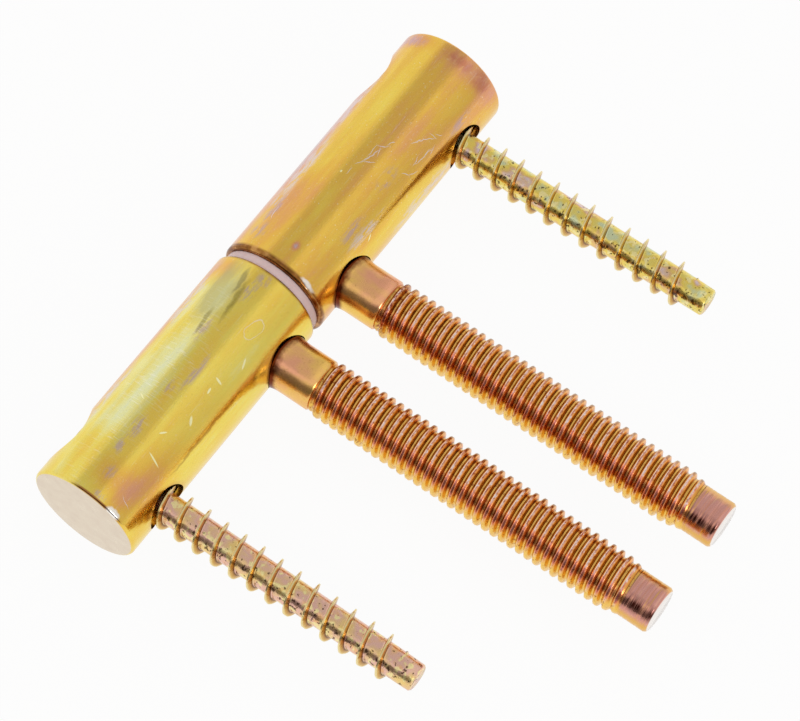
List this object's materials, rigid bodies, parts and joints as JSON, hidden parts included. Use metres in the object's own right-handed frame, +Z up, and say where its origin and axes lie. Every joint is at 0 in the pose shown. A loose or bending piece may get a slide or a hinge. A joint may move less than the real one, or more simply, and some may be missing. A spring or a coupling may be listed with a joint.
{
  "type": "screw-in hinge",
  "caption": "Drill-in door hinge: round steel barrels turning on a pin with a plastic washer between, each with a threaded stud and a locking wood screw.",
  "frame": {"origin": "on the surface that the barrels lie on, under the middle of the whole part", "axes": "+X is the way the studs and screws point, +Y is the hinge axis from the lower to the upper barrel, +Z is up with the hinge lying flat"},
  "size_m": [0.0754, 0.0824, 0.016],
  "materials": {
    "zinc_yellow": "yellow chromated zinc on turned steel, iridescent",
    "zinc_copper": "yellow chromated zinc on rolled thread, copper-rose tint",
    "zinc_olive": "yellow chromated zinc on wood screw, olive tint",
    "pin_steel": "bright ground steel",
    "nylon": "natural nylon"
  },
  "bodies": {
    "lower_half": {"lower_barrel": "zinc_yellow", "hinge_pin": "pin_steel", "lower_stud": "zinc_copper", "lower_lock_screw": "zinc_olive"},
    "washer": {"bearing_washer": "nylon"},
    "upper_half": {"upper_barrel": "zinc_yellow", "upper_stud": "zinc_copper", "upper_lock_screw": "zinc_olive"}
  },
  "joints": [
    {"name": "hinge_turn", "type": "hinge", "parent": "lower_half", "child": "washer", "pos_m": [-0.0297, -0.0017, 0.008], "axis": [0, -1, 0], "continuous": true},
    {"name": "lift_off", "type": "slide", "parent": "washer", "child": "upper_half", "axis": [0, 1, 0], "range_m": [0, 0.026]}
  ]
}
